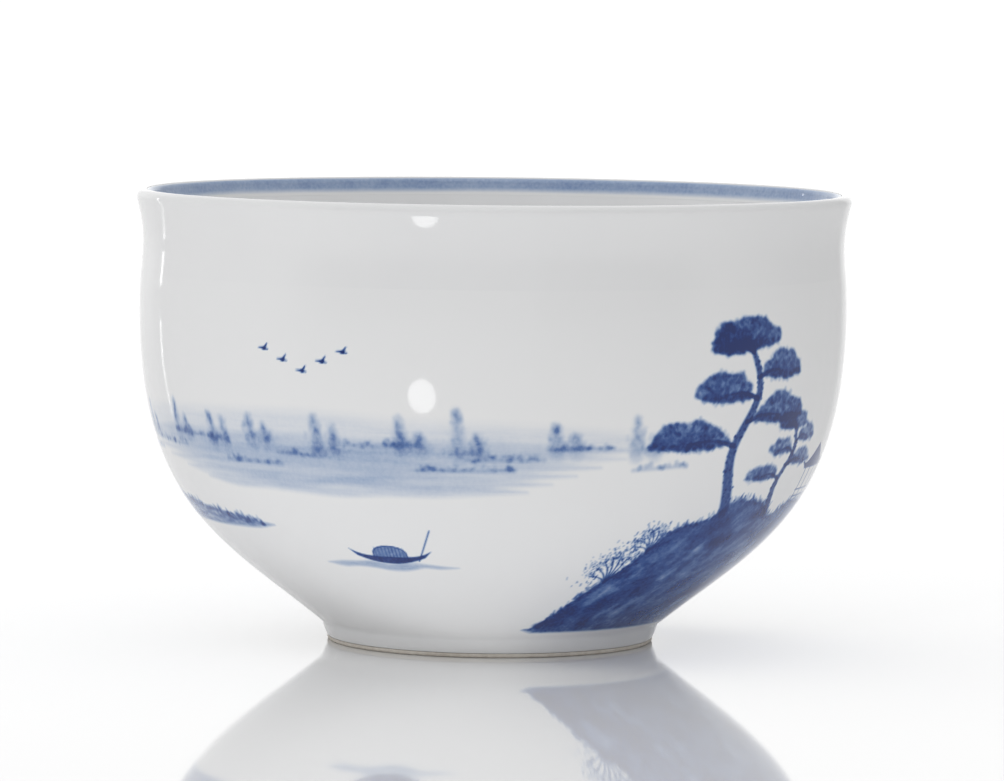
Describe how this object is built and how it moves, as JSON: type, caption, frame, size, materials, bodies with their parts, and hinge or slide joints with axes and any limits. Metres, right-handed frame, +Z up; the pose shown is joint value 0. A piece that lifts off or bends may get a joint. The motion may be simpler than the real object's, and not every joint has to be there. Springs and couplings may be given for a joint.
{
  "type": "handleless teacup",
  "caption": "Deep round porcelain teacup without a handle, on a low foot ring, with a flared lip, glazed in and out and painted blue.",
  "frame": {"origin": "centre of the foot ring, on the surface the cup stands on", "axes": "+Z up along the cup's axis, from the foot to the mouth; -Y is the side whose painting faces the viewer"},
  "size_m": [0.08, 0.08, 0.0504],
  "materials": {
    "porcelain": "fired white porcelain body, matte, hidden under the glaze",
    "bare_porcelain": "bare fired clay, matte, faintly grey-brown where it meets the table",
    "painted_glaze": "clear glossy glaze over white porcelain, with cobalt-blue brush painting under it",
    "white_glaze": "clear glossy glaze over white porcelain",
    "cobalt_blue": "soft-edged cobalt-blue band under clear glossy glaze"
  },
  "bodies": {
    "root": {"porcelain_bowl": "porcelain", "foot_ring": "bare_porcelain", "outer_glaze": "painted_glaze", "inner_glaze": "white_glaze", "foot_well_glaze": "white_glaze", "rim_band": "cobalt_blue"}
  },
  "joints": []
}
